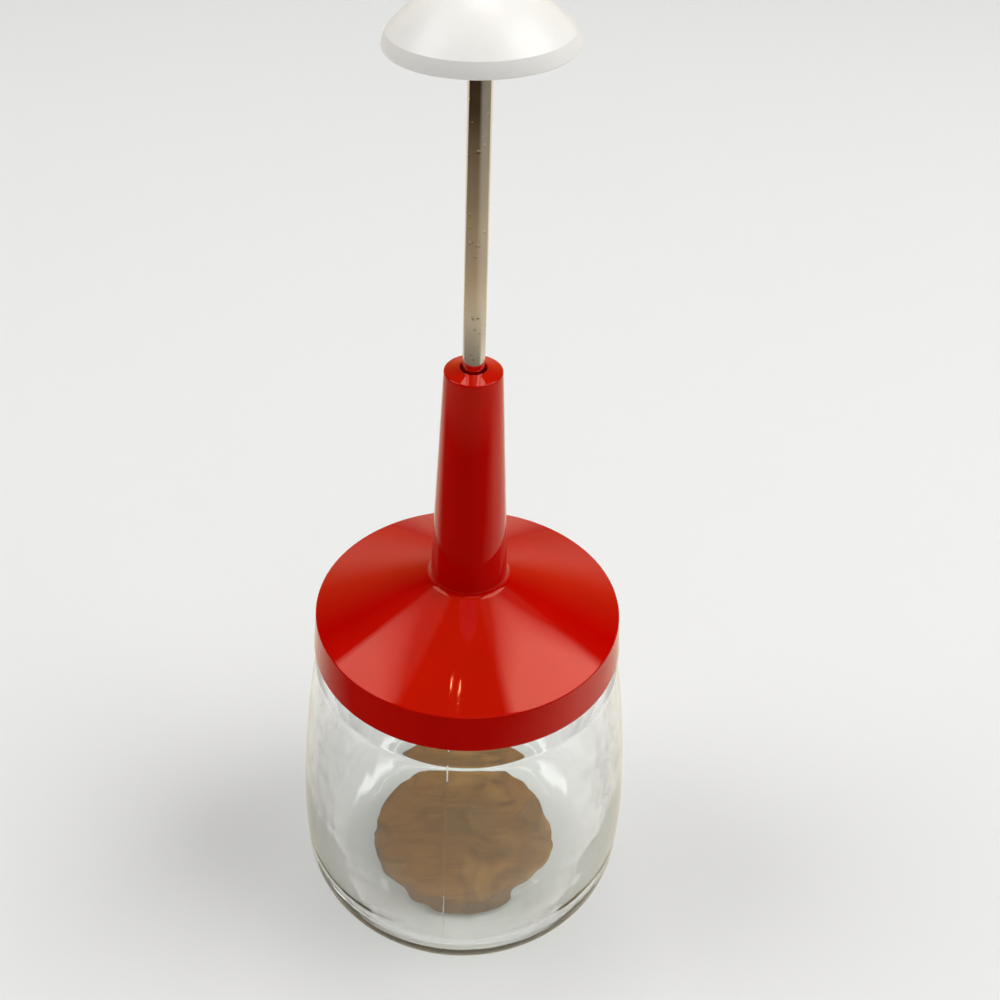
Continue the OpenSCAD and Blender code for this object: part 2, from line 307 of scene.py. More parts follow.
def wind(name: str, radius: float, z: float, wire_r: float, flat: float, turns: float,
         rise: float, steps: int, windings: int = 1, fill: str = "NGON") -> Object:
    """Winds a wire round the Z axis as one closed solid.

    Args:
        name: Name of the object.
        radius: Distance of the wire's middle from the axis.
        z: Height of the wire's middle at its start.
        wire_r: Radius of the wire.
        flat: Height of the wire as a share of its breadth.
        turns: Number of turns in one winding.
        rise: Rise in one winding.
        steps: Number of stretches in one winding.
        windings: Number of windings, one after the other.
        fill: How the circle that is wound is filled.

    Returns:
        The object, in object mode.
    """
    deselect_all()
    bpy.ops.mesh.primitive_circle_add(vertices=10, radius=wire_r * MM, fill_type=fill,
                                      location=(radius * MM, 0, z * MM),
                                      rotation=(math.pi / 2, 0, 0))
    obj = added(name)
    obj.scale = (1.0, flat, 1.0)
    settle(obj)
    coil = obj.modifiers.new("coil", "SCREW")
    coil.axis = "Z"
    coil.angle = math.tau * turns
    coil.screw_offset = rise * MM
    coil.iterations = windings
    coil.steps = coil.render_steps = steps
    apply_modifiers(obj)
    close_ends(obj)
    smooth(obj, 50)
    return obj


def thread(name: str, radius: float, depth: float, z: float, turns: float) -> Object:
    """Makes a rounded screw thread as one closed ridge, with its middle on a wall.

    Args:
        name: Name of the object.
        radius: Radius of the wall that the ridge stands on.
        depth: How far the ridge stands out of the wall.
        z: Height where the ridge starts.
        turns: Number of turns.

    Returns:
        The object, in object mode.
    """
    return wind(name, radius, z, depth, 0.9, turns, THREAD_LEAD * turns,
                int(THREAD_STEPS * turns))


def ring(name: str, node: str, bore_r: float, soft: float, steps: int) -> Object:
    """Turns a flat ring with softened outer rims, in a node's place.

    Args:
        name: Name of the object.
        node: Node of the frame that it stands for.
        bore_r: Radius of its hole.
        soft: Width of the softened rims.
        steps: Number of stretches in the full turn.

    Returns:
        The ring.
    """
    low, high = node_box(node)
    outer = high.x
    profile = [(bore_r, low.z), (outer - soft, low.z), (outer, low.z + soft),
               (outer, high.z - soft), (outer - soft, high.z), (bore_r, high.z), (bore_r, low.z)]
    return lathe(name, profile, steps)


def close_ends(obj: Object) -> None:
    """Merges doubled points, closes open ends and turns the faces outwards.

    Args:
        obj: The object.
    """
    edit_all(obj)
    bpy.ops.mesh.remove_doubles(threshold=MERGE)
    bpy.ops.mesh.select_all(action="DESELECT")
    bpy.ops.mesh.select_non_manifold(extend=False, use_boundary=True, use_wire=False,
                                     use_multi_face=False, use_non_contiguous=False,
                                     use_verts=False)
    bpy.ops.mesh.fill_holes(sides=0)
    bpy.ops.mesh.select_all(action="SELECT")
    bpy.ops.mesh.normals_make_consistent(inside=False)
    bpy.ops.object.mode_set(mode="OBJECT")


def add_object(name: str, data: bpy.types.ID) -> Object:
    """Puts a lamp or a camera into the scene.

    Args:
        name: Name of the object.
        data: The lamp or camera.

    Returns:
        The new object.
    """
    obj = bpy.data.objects.new(name, data)
    bpy.context.scene.collection.objects.link(obj)
    return obj


def fit_out(obj: Object, body: Body, slot: Slot, finish: Material, *nodes: str) -> None:
    """Dresses a modelled piece and gives it to the frame.

    Args:
        obj: The finished piece.
        body: The body that it rides on.
        slot: The record's slot that its finish belongs to. Not used.
        finish: Its material.
        *nodes: Nodes of the frame that it stands for.
    """
    obj.data.materials.clear()
    obj.data.materials.append(finish)
    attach(obj, body.value)
    if nodes:
        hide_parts(*nodes)
    LOG.info("%s: %d faces, rides on %s", obj.name, len(obj.data.polygons), body.value)


def dress_node(node: str, finish: Material) -> None:
    """Gives a node of the frame, whose shape stays, a better material.

    Args:
        node: Name of the node.
        finish: Its new material.
    """
    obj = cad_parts[node]
    for slot in obj.material_slots:
        slot.material = finish
    LOG.info("%s: keeps its own shape, dressed in %s", node, finish.name)


# ---- node helpers


class Sheet:
    """Adds and links the nodes of one node tree."""

    def __init__(self, tree: Tree) -> None:
        """Keeps the tree that the nodes go into."""
        self.tree = tree

    def add(self, kind: str, values: dict | None = None, **settings: object) -> Node:
        """Adds a node.

        Args:
            kind: Blender's name for the node's type.
            values: Value or linked socket for each named or numbered input.
            **settings: Properties of the node itself.

        Returns:
            The new node.
        """
        node = self.tree.nodes.new(kind)
        for key, value in settings.items():
            setattr(node, key, value)
        for key, value in (values or {}).items():
            if isinstance(value, Socket):
                self.link(value, node.inputs[key])
            else:
                node.inputs[key].default_value = value
        return node

    def link(self, source: Socket, target: Socket) -> None:
        """Links an output to an input."""
        self.tree.links.new(source, target)

    def axes(self, vector: Socket) -> Sequence[Socket]:
        """The X, Y and Z of a vector."""
        return self.add("ShaderNodeSeparateXYZ", {0: vector}).outputs

    def length(self, vector: Socket) -> Socket:
        """Length of a vector."""
        node = self.add("ShaderNodeVectorMath", {0: vector}, operation="LENGTH")
        return node.outputs["Value"]

    def math(self, operation: str, *values: Value) -> Socket:
        """Result of a Math node on one, two or three values or sockets."""
        return self.add("ShaderNodeMath", dict(enumerate(values)), operation=operation).outputs[0]

    def blend(self, share: Value, first: Tone, second: Tone) -> Socket:
        """Colour between the first, at share 0, and the second, at share 1."""
        values = {0: share, 6: opaque(first), 7: opaque(second)}
        return self.add("ShaderNodeMix", values, data_type="RGBA").outputs[2]

    def ramp(self, value: Socket, low: float, high: float, to_low: float = 0.0,
             to_high: float = 1.0) -> Socket:
        """Value moved from one range to another, and clamped to it."""
        values = {0: value, 1: low, 2: high, 3: to_low, 4: to_high}
        return self.add("ShaderNodeMapRange", values).outputs[0]

    def noise(self, vector: Socket, scale: float, detail: float = 3.0,
              roughness: float = 0.5, distortion: float = 0.0) -> Socket:
        """Adds a noise texture.

        Args:
            vector: Coordinates of the pattern.
            scale: Scale of the pattern.
            detail: Number of finer layers.
            roughness: Strength of the finer layers.
            distortion: How far the pattern is warped.

        Returns:
            The value of the noise, about 0.5 on average.
        """
        values = {"Vector": vector, "Scale": scale, "Detail": detail, "Roughness": roughness,
                  "Distortion": distortion}
        return self.add("ShaderNodeTexNoise", values).outputs[0]

    def stretched(self, vector: Socket, scale: Sequence[float], turn: float = 0.0) -> Socket:
        """Coordinates scaled by axis, and turned about Z by an angle in degrees."""
        values = {"Vector": vector, "Scale": scale, "Rotation": (0, 0, math.radians(turn))}
        return self.add("ShaderNodeMapping", values).outputs[0]

    def bump(self, height: Socket, strength: float, distance: float) -> Socket:
        """Normal of a bump of that height."""
        values = {"Strength": strength, "Distance": distance, "Height": height}
        return self.add("ShaderNodeBump", values).outputs[0]


def opaque(colour: Tone) -> Union[Socket, tuple[float, ...]]:
    """Colour with full alpha, or the socket itself."""
    return colour if isinstance(colour, Socket) else (*colour, 1.0)


def new_group(name: str, inputs: dict[str, str], outputs: dict[str, str]
              ) -> tuple[Tree, Sheet, Node, Node]:
    """Starts a node group.

    Args:
        name: Name of the group.
        inputs: Kind of socket by name, in order.
        outputs: Kind of socket by name, in order.

    Returns:
        The group, its sheet, its input node and its output node.
    """
    tree = bpy.data.node_groups.new(name, "ShaderNodeTree")
    for side, sockets in (("INPUT", inputs), ("OUTPUT", outputs)):
        for label, kind in sockets.items():
            tree.interface.new_socket(label, in_out=side, socket_type=f"NodeSocket{kind}")
    sheet = Sheet(tree)
    return tree, sheet, sheet.add("NodeGroupInput"), sheet.add("NodeGroupOutput")


@cache
def scuff_group() -> Tree:
    """Fine crossing scuffs and dull patches: the rougher places of a handled surface.

    Returns:
        The node group, which puts out roughness and height.
    """
    tree, sheet, inlet, outlet = new_group(
        "handling_scuffs",
        {"Vector": "Vector", "Scale": "Float", "Amount": "Float", "Roughness": "Float"},
        {"Roughness": "Float", "Height": "Float"})
    vector, scale = inlet.outputs["Vector"], inlet.outputs["Scale"]
    scaled = sheet.add("ShaderNodeVectorMath", {0: vector, "Scale": scale},
                       operation="SCALE").outputs[0]
    lines = []
    for turn in (24.0, -51.0):
        along = sheet.stretched(scaled, (0.15, 3.0, 3.0), turn)
        lines.append(sheet.ramp(sheet.noise(along, 5.0, 2.0), 0.66, 0.72))
    scratches = sheet.math("MAXIMUM", lines[0], lines[1])
    patches = sheet.ramp(sheet.noise(scaled, 0.9, 4.0), 0.42, 0.68)
    mask = sheet.math("ADD", sheet.math("MULTIPLY", patches, 0.6),
                      sheet.math("MULTIPLY", scratches, 0.5))
    rougher = sheet.math("MULTIPLY_ADD", mask, inlet.outputs["Amount"],
                         inlet.outputs["Roughness"])
    sheet.link(rougher, outlet.inputs["Roughness"])
    sheet.link(sheet.math("MULTIPLY", scratches, -1.0), outlet.inputs["Height"])
    return tree


@cache
def drift_group() -> Tree:
    """Slow change of tone between two colours over a surface.

    Returns:
        The node group, which puts out a colour.
    """
    tree, sheet, inlet, outlet = new_group(
        "tone_drift",
        {"Vector": "Vector", "Scale": "Float", "First": "Color", "Second": "Color"},
        {"Colour": "Color"})
    value = sheet.noise(inlet.outputs["Vector"], 1.0, 4.0, 0.55)
    sheet.link(inlet.outputs["Scale"], value.node.inputs["Scale"])
    share = sheet.ramp(value, 0.35, 0.65)
    colour = sheet.blend(share, inlet.outputs["First"], inlet.outputs["Second"])
    sheet.link(colour, outlet.inputs["Colour"])
    return tree


class Dressing:
    """One material in the making: its sheet, its shader and its object coordinates."""

    def __init__(self, name: str) -> None:
        """Starts a material of that name with one Principled shader.

        Args:
            name: Name of the material.
        """
        self.material = bpy.data.materials.new(name)
        self.material.use_nodes = True
        self.sheet = Sheet(self.material.node_tree)
        self.shader = self.sheet.tree.nodes["Principled BSDF"]
        self.place = self.sheet.add("ShaderNodeTexCoord").outputs["Object"]

    def plain(self, **values: Union[float, Sequence[float]]) -> None:
        """Sets plain values on the shader, with _ for a space in each name."""
        for key, value in values.items():
            self.shader.inputs[key.replace("_", " ")].default_value = value

    def feed(self, name: str, socket: Socket) -> None:
        """Links a socket to one of the shader's inputs."""
        self.sheet.link(socket, self.shader.inputs[name])

    def scuffs(self, scale: float, amount: float, roughness: float) -> Socket:
        """Adds the shared scuffs.

        Args:
            scale: Scale of their pattern.
            amount: How much rougher the scuffed places are.
            roughness: Roughness of the clean places.

        Returns:
            The height of the scuffs. Their roughness goes to the shader.
        """
        values = {"Vector": self.place, "Scale": scale, "Amount": amount, "Roughness": roughness}
        node = self.sheet.add("ShaderNodeGroup", values, node_tree=scuff_group())
        self.feed("Roughness", node.outputs["Roughness"])
        return node.outputs["Height"]

    def drift(self, scale: float, first: Colour, second: Colour) -> Socket:
        """Colour that drifts between two tones, by the shared group.

        Args:
            scale: Scale of the pattern.
            first: One tone.
            second: The other tone.

        Returns:
            The colour.
        """
        values = {"Vector": self.place, "Scale": scale, "First": opaque(first),
                  "Second": opaque(second)}
        return self.sheet.add("ShaderNodeGroup", values, node_tree=drift_group()).outputs[0]


# ---- finishes


@dataclass(frozen=True)
class Finish:
    """What a piece is made of, and how its surface looks."""

    name: str

    def material(self) -> Material:
        """Builds the material.

        Returns:
            The new material.
        """
        dressing = Dressing(self.name)
        self.paint(dressing, dressing.sheet, dressing.place)
        return dressing.material

    def paint(self, dressing: Dressing, sheet: Sheet, place: Socket) -> None:
        """Adds the finish's own nodes.

        Args:
            dressing: The material in the making.
            sheet: Its node tree.
            place: Its object coordinates.
        """
        raise NotImplementedError


@dataclass(frozen=True)
class MouldedPlastic(Finish):
    """Glossy moulded plastic with a faint flow of tone, scuffs and a soft orange-peel skin."""

    first: Colour
    second: Colour
    roughness: float
    scuffing: float
    peel: float
    depth: float = 0.0
    shine: Colour = (1.0, 1.0, 1.0)

    def paint(self, dressing: Dressing, sheet: Sheet, place: Socket) -> None:
        """Adds the finish's own nodes.

        Args:
            dressing: The material in the making.
            sheet: Its node tree.
            place: Its object coordinates.
        """
        dressing.plain(IOR=1.49, Specular_Tint=opaque(self.shine))
        if self.depth:
            dressing.plain(Subsurface_Weight=self.depth, Subsurface_Scale=2.0 * MM,
                           Subsurface_Radius=(1.0, 0.8, 0.6))
        dressing.feed("Base Color", dressing.drift(32.0, self.first, self.second))
        scuffs = dressing.scuffs(90.0, self.scuffing, self.roughness)
        skin = sheet.noise(place, 420.0, 2.0)
        height = sheet.math("MULTIPLY_ADD", scuffs, 0.3, skin)
        dressing.feed("Normal", sheet.bump(height, self.peel, 0.05 * MM))


@dataclass(frozen=True)
class ClearGlass(Finish):
    """Clear pressed glass that bends light, with faint waves and two mould seams.

    Light that falls on what lies behind it goes straight through, and so does light that was
    mirrored inside its walls too often; that light gets a grey tint, which is painted shade.
    """

    tint: Colour
    wave: float
    lit_tint: Colour = (0.96, 0.975, 0.965)
    # Grey tint of rays mirrored inside the walls too often: painted shade in the glass.
    painted_shade_tint: Colour = (0.62, 0.63, 0.59)
    mirrored_most: float = 2.5
    seam_turn: float = 6.0
    seam_reach: float = 0.35

    def paint(self, dressing: Dressing, sheet: Sheet, place: Socket) -> None:
        """Adds the finish's own nodes.

        Args:
            dressing: The material in the making.
            sheet: Its node tree.
            place: Its object coordinates.
        """
        dressing.plain(Base_Color=opaque(self.tint), Transmission_Weight=1.0, IOR=1.5,
                       Roughness=0.0)
        tall = sheet.stretched(place, (1.0, 1.0, 0.35))
        waves = sheet.noise(tall, 80.0, 2.0, 0.45)
        height = sheet.math("ADD", waves, self.seam(sheet, place))
        dressing.feed("Normal", sheet.bump(height, self.wave, 1.2 * MM))
        path = sheet.add("ShaderNodeLightPath").outputs
        caught = sheet.math("GREATER_THAN", path["Glossy Depth"], self.mirrored_most)
        lit = sheet.math("MAXIMUM", path["Is Shadow Ray"], path["Is Diffuse Ray"])
        # Painted shade: rays mirrored inside the walls too often pass straight through, tinted
        # grey.
        surface = self.let_through(sheet, caught, dressing.shader.outputs[0], self.painted_shade_tint)
        surface = self.let_through(sheet, lit, surface, self.lit_tint)
        sheet.link(surface, sheet.tree.nodes["Material Output"].inputs["Surface"])

    @staticmethod
    def let_through(sheet: Sheet, rays: Socket, shader: Socket, tint: Colour) -> Socket:
        """Lets some rays go straight through a surface.

        Args:
            sheet: The material's node tree.
            rays: Mask of these rays.
            shader: Shader for all the others.
            tint: Colour that the rays get.

        Returns:
            The shader for all rays.
        """
        clear = sheet.add("ShaderNodeBsdfTransparent", {"Color": opaque(tint)}).outputs[0]
        return sheet.add("ShaderNodeMixShader", {0: rays, 1: shader, 2: clear}).outputs[0]

    def seam(self, sheet: Sheet, place: Socket) -> Socket:
        """Height of the two thin seams that the halves of the mould leave.

        Args:
            sheet: The material's node tree.
            place: Its object coordinates.

        Returns:
            The height.
        """
        turned = sheet.stretched(place, (1.0, 1.0, 1.0), self.seam_turn)
        away = sheet.math("ABSOLUTE", sheet.axes(turned)[0])
        return sheet.ramp(away, 0.0, self.seam_reach * MM, 0.25, 0.0)


@dataclass(frozen=True)
class WornWood(Finish):
    """Bare hardwood with long grain, stains of food, fresh patches, and blade marks.

    Its middle, where the blades strike most, is greyer.
    """

    pale: Colour
    dark: Colour
    soaked: Colour
    struck: Colour
    fresh: Colour
    grain_turn: float = 8.0
    struck_r: tuple[float, float] = (6.0, 22.0)

    def paint(self, dressing: Dressing, sheet: Sheet, place: Socket) -> None:
        """Adds the finish's own nodes.

        Args:
            dressing: The material in the making.
            sheet: Its node tree.
            place: Its object coordinates.
        """
        along = sheet.stretched(place, (1.0, 7.0, 1.0), self.grain_turn)
        broad = sheet.noise(along, 26.0, 6.0, 0.6, 1.2)
        fine = sheet.noise(sheet.stretched(place, (1.0, 18.0, 1.0), self.grain_turn), 90.0)
        grain = sheet.math("MULTIPLY_ADD", fine, 0.35, sheet.math("MULTIPLY", broad, 0.75))
        colour = sheet.blend(sheet.ramp(grain, 0.36, 0.72), self.dark, self.pale)
        blot = sheet.ramp(sheet.noise(place, 62.0, 5.0, 0.6, 0.9), 0.44, 0.60)
        colour = sheet.blend(sheet.math("MULTIPLY", blot, 0.85), colour, self.soaked)
        patch = sheet.ramp(sheet.noise(place, 58.0, 3.0, 0.5, 0.5), 0.52, 0.68, 0.0, 0.6)
        colour = sheet.blend(patch, colour, self.fresh)
        full, none = (radius * MM for radius in self.struck_r)
        uneven = sheet.math("MULTIPLY_ADD", blot, full, sheet.length(place))
        middle = sheet.ramp(uneven, full, none, 0.75, 0.0)
        dressing.feed("Base Color", sheet.blend(middle, colour, self.struck))
        dressing.feed("Roughness", sheet.ramp(grain, 0.3, 0.8, 0.75, 0.5))
        height = sheet.math("SUBTRACT", grain, self.marks(sheet, place))
        dressing.feed("Normal", sheet.bump(height, 0.6, 0.3 * MM))

    @staticmethod
    def marks(sheet: Sheet, place: Socket) -> Socket:
        """Mask of the short straight cuts that the blades leave.

        Args:
            sheet: The material's node tree.
            place: Its object coordinates.

        Returns:
            The mask, 1 in a cut.
        """
        mask = 0.0
        for turn in (12.0, 64.0, 131.0):
            along = sheet.stretched(place, (0.25, 3.2, 1.0), turn)
            cuts = sheet.ramp(sheet.noise(along, 210.0, 1.0), 0.68, 0.74)
            mask = sheet.math("MAXIMUM", mask, cuts)
        return mask


@dataclass(frozen=True)
class Metal(Finish):
    """Bare or plated metal, with fine lines along one axis and small pits."""

    first: Colour
    second: Colour
    roughness: float
    scuffing: float
    lines: Sequence[float]
    line_depth: float
    pits: float = 0.0

    def paint(self, dressing: Dressing, sheet: Sheet, place: Socket) -> None:
        """Adds the finish's own nodes.

        Args:
            dressing: The material in the making.
            sheet: Its node tree.
            place: Its object coordinates.
        """
        dressing.plain(Metallic=1.0)
        dressing.feed("Base Color", dressing.drift(70.0, self.first, self.second))
        dressing.scuffs(140.0, self.scuffing, self.roughness)
        drawn = sheet.noise(sheet.stretched(place, self.lines), 900.0, 2.0)
        pits = sheet.ramp(sheet.noise(place, 620.0, 1.0), 0.27, 0.33, -self.pits, 0.0)
        height = sheet.math("MULTIPLY_ADD", drawn, self.line_depth, pits)
        dressing.feed("Normal", sheet.bump(height, 0.5, 0.05 * MM))


@dataclass(frozen=True)
class PulpBoard(Finish):
    """Pale pressed board with short fibres."""

    pale: Colour
    dark: Colour

    def paint(self, dressing: Dressing, sheet: Sheet, place: Socket) -> None:
        """Adds the finish's own nodes.

        Args:
            dressing: The material in the making.
            sheet: Its node tree.
            place: Its object coordinates.
        """
        fibres = sheet.noise(sheet.stretched(place, (1.0, 4.0, 1.0), 30.0), 520.0, 3.0)
        tone = sheet.ramp(fibres, 0.35, 0.7)
        dressing.feed("Base Color", sheet.blend(tone, self.pale, self.dark))
        dressing.plain(Roughness=0.9)
        dressing.feed("Normal", sheet.bump(fibres, 0.4, 0.1 * MM))


RED_PLASTIC = MouldedPlastic("glossy_red_plastic", (0.56, 0.0014, 0.0003), (0.50, 0.001, 0.0003),
                             roughness=0.026, scuffing=0.06, peel=0.025, shine=(1.0, 0.45, 0.33))
KNOB_PLASTIC = MouldedPlastic("off_white_plastic", (0.955, 0.945, 0.91), (0.925, 0.91, 0.865),
                              roughness=0.3, scuffing=0.12, peel=0.08, depth=0.1)
NYLON = MouldedPlastic("natural_nylon", (0.78, 0.76, 0.68), (0.72, 0.70, 0.62),
                       roughness=0.45, scuffing=0.1, peel=0.15, depth=0.1)
JAR_GLASS = ClearGlass("clear_pressed_glass", (0.985, 0.99, 0.98), wave=0.2)
DISC_WOOD = WornWood("worn_chopping_wood", (0.31, 0.138, 0.009), (0.195, 0.081, 0.004),
                     (0.14, 0.066, 0.006), (0.14, 0.100, 0.040), (0.46, 0.24, 0.04))
CHROME = Metal("pitted_chrome", (0.80, 0.80, 0.79), (0.70, 0.69, 0.67), roughness=0.07,
               scuffing=0.08, lines=(1.0, 1.0, 0.04), line_depth=0.25, pits=0.8)
WIRE = Metal("drawn_spring_wire", (0.55, 0.55, 0.54), (0.42, 0.41, 0.40), roughness=0.28,
             scuffing=0.15, lines=(1.0, 1.0, 3.0), line_depth=0.5)
SHEET_STEEL = Metal("rolled_stainless", (0.66, 0.67, 0.68), (0.55, 0.56, 0.57), roughness=0.24,
                    scuffing=0.15, lines=(0.05, 1.0, 1.0), line_depth=0.8)
BLACK_STEEL = Metal("blackened_spring_steel", (0.10, 0.10, 0.11), (0.06, 0.06, 0.06),
                    roughness=0.35, scuffing=0.15, lines=(1.0, 1.0, 1.0), line_depth=0.4)
BOARD = PulpBoard("pale_pulp_board", (0.74, 0.70, 0.60), (0.55, 0.50, 0.40))


# ---- sub-assemblies


@dataclass
class Jar:
    """Pressed glass jar with its neck thread, and the wooden disc that lies in it."""

    side_h: float = 87.0
    shoulder_r: float = 42.4
    belly: float = 5.88
    belly_z: float = 26.0
    heel_r: float = 15.4
    heel_pinch: float = 0.4
    side_power: float = 1.735
    wall: float = 3.2
    heel_wall: float = 2.0
    heel_wall_z: float = 42.0
    floor_t: float = 6.0
    push_up: float = 1.2
    neck_r: float = 38.6
    neck_z: float = 94.0
    throat_r: float = 36.2
    throat_z: float = 94.5
    inner_shoulder_z: float = 85.2
    inner_heel_r: float = 12.0
    lip_round: float = 0.9
    wave_depth: float = 0.12
    wave_size: float = 10.0
    wave_fade: float = 9.0

    @property
    def lip_z(self) -> float:
        """Height of the jar's lip."""
        return node_box("glass_jar")[1].z

    def side_r(self, z: float) -> float:
        """Outside radius of the glass at a height.

        Args:
            z: The height.

        Returns:
            The radius.
        """
        belly_r = self.shoulder_r + self.belly
        if z > self.belly_z:
            share = (z - self.belly_z) / (self.side_h - self.belly_z)
            return belly_r - self.belly * share ** self.side_power
        share = (self.belly_z - z) / (self.belly_z - self.heel_r)
        return belly_r - self.heel_pinch * share ** 2

    def side(self, z0: float, z1: float, inner: bool, steps: int = 16) -> list[Point]:
        """Points of the side between two heights.

        Args:
            z0: First height.
            z1: Last height.
            inner: True for the inside of the wall.
            steps: Number of straight stretches.

        Returns:
            The points, from z0 to z1.
        """
        heights = [z0 + (z1 - z0) * i / steps for i in range(steps + 1)]
        return [(self.side_r(z) - (self.wall_at(z) if inner else 0.0), z) for z in heights]

    def wall_at(self, z: float) -> float:
        """Thickness of the glass at a height, which grows towards the heel."""
        share = max(0.0, 1.0 - z / self.heel_wall_z)
        return self.wall + self.heel_wall * share

    def outside(self) -> list[Point]:
        """Profile from the middle of the base up to the lip.

        Returns:
            The points of the profile.
        """
        heel_x = self.side_r(self.heel_r) - self.heel_r
        foot_in_r = heel_x - 5.5
        base = [(0.0, self.push_up), (foot_in_r - 5.0, self.push_up), (foot_in_r, 0.05)]
        heel = arc(heel_x, self.heel_r, self.heel_r, -90, -6, 10)
        lip = arc(self.neck_r - self.lip_round, self.lip_z - self.lip_round, self.lip_round,
                  0, 90, 5)
        side = self.side(self.heel_r + 1.0, self.side_h - 1.2, False)
        rise, run = self.neck_z - self.side_h, self.neck_r - self.shoulder_r
        shoulder = [(self.shoulder_r + run * t, self.side_h + rise * t) for t in (0.0, 0.15, 1.0)]
        wall = soften(heel + side + shoulder, 2)
        return soften(base, 1) + wall + lip

    def inside(self) -> list[Point]:
        """Profile from the lip down to the middle of the floor.

        Returns:
            The points of the profile.
        """
        lip = arc(self.throat_r + self.lip_round, self.lip_z - self.lip_round, self.lip_round,
                  90, 180, 5)
        shoulder = [(self.throat_r, self.throat_z + 1.5), (self.throat_r, self.throat_z)]
        heel_z = self.floor_t + self.inner_heel_r
        heel_x = self.side_r(heel_z) - self.wall_at(heel_z) - self.inner_heel_r
        side = self.side(self.inner_shoulder_z, heel_z + 1.0, True)
        heel = arc(heel_x, heel_z, self.inner_heel_r, 0, -90, 8)
        wall = soften(shoulder + side + heel + [(heel_x * 0.6, self.floor_t)], 2)
        return lip + wall + [(0.0, self.floor_t)]

    def glass(self) -> Object:
        """Turns the jar, and lets its inner wall wave a little as pressed glass does.

        Returns:
            The jar.
        """
        obj = lathe("glass_jar_body", self.outside() + self.inside(), steps=144, angle=40)
        inner = obj.vertex_groups.new(name="inner_wall")
        floor, limit = self.floor_t - 0.5, self.lip_z - 8.0
        for vertex in obj.data.vertices:
            x, y, z = vertex.co / MM
            outer = self.side_r(max(z, self.heel_r)) - self.wall * 0.6
            if floor < z < limit and math.hypot(x, y) < outer:
                fade = min(1.0, (z - floor) / self.wave_fade, (limit - z) / self.wave_fade)
                inner.add([vertex.index], fade, "REPLACE")
        clouds = bpy.data.textures.new("glass_waves", "CLOUDS")
        clouds.noise_scale = self.wave_size * MM
        clouds.noise_depth = 1
        wave = obj.modifiers.new("waves", "DISPLACE")
        wave.texture = clouds
        wave.texture_coords = "LOCAL"
        wave.vertex_group = inner.name
        wave.strength = 2 * self.wave_depth * MM
        wave.mid_level = 0.5
        apply_modifiers(obj)
        return obj

    def neck_thread(self) -> Object:
        """Makes the glass thread that the lid screws on."""
        return thread("jar_neck_thread", self.neck_r, 0.75, self.neck_z + 0.9, turns=0.9)

    def disc(self) -> Object:
        """Turns the wooden disc with softened, slightly worn edges.

        Returns:
            The disc, in its place in the jar.
        """
        low, high = node_box("chopping_disc")
        radius = (high.x - low.x) / 2
        thick = high.z - low.z
        edge = 1.1
        profile = [(0.0, 0.0), (radius - edge, 0.0)]
        profile += arc(radius - edge, edge, edge, -90, 0, 4)
        profile += arc(radius - edge, thick - edge, edge, 0, 90, 5)
        profile += [(radius * share, thick) for share in (0.85, 0.6, 0.35, 0.0)]
        obj = lathe("wooden_disc", hold(profile))
        middle = (low + high) / 2 * MM
        obj.location = (middle.x, middle.y, low.z * MM)
        settle(obj)
        return obj

    def build(self) -> None:
        """Builds the jar, its thread and the disc, and dresses them."""
        glass = JAR_GLASS.material()
        fit_out(self.glass(), Body.JAR, Slot.GLASS, glass, "glass_jar")
        fit_out(self.neck_thread(), Body.JAR, Slot.GLASS, glass)
        fit_out(self.disc(), Body.JAR, Slot.WOOD, DISC_WOOD.material(), "chopping_disc")


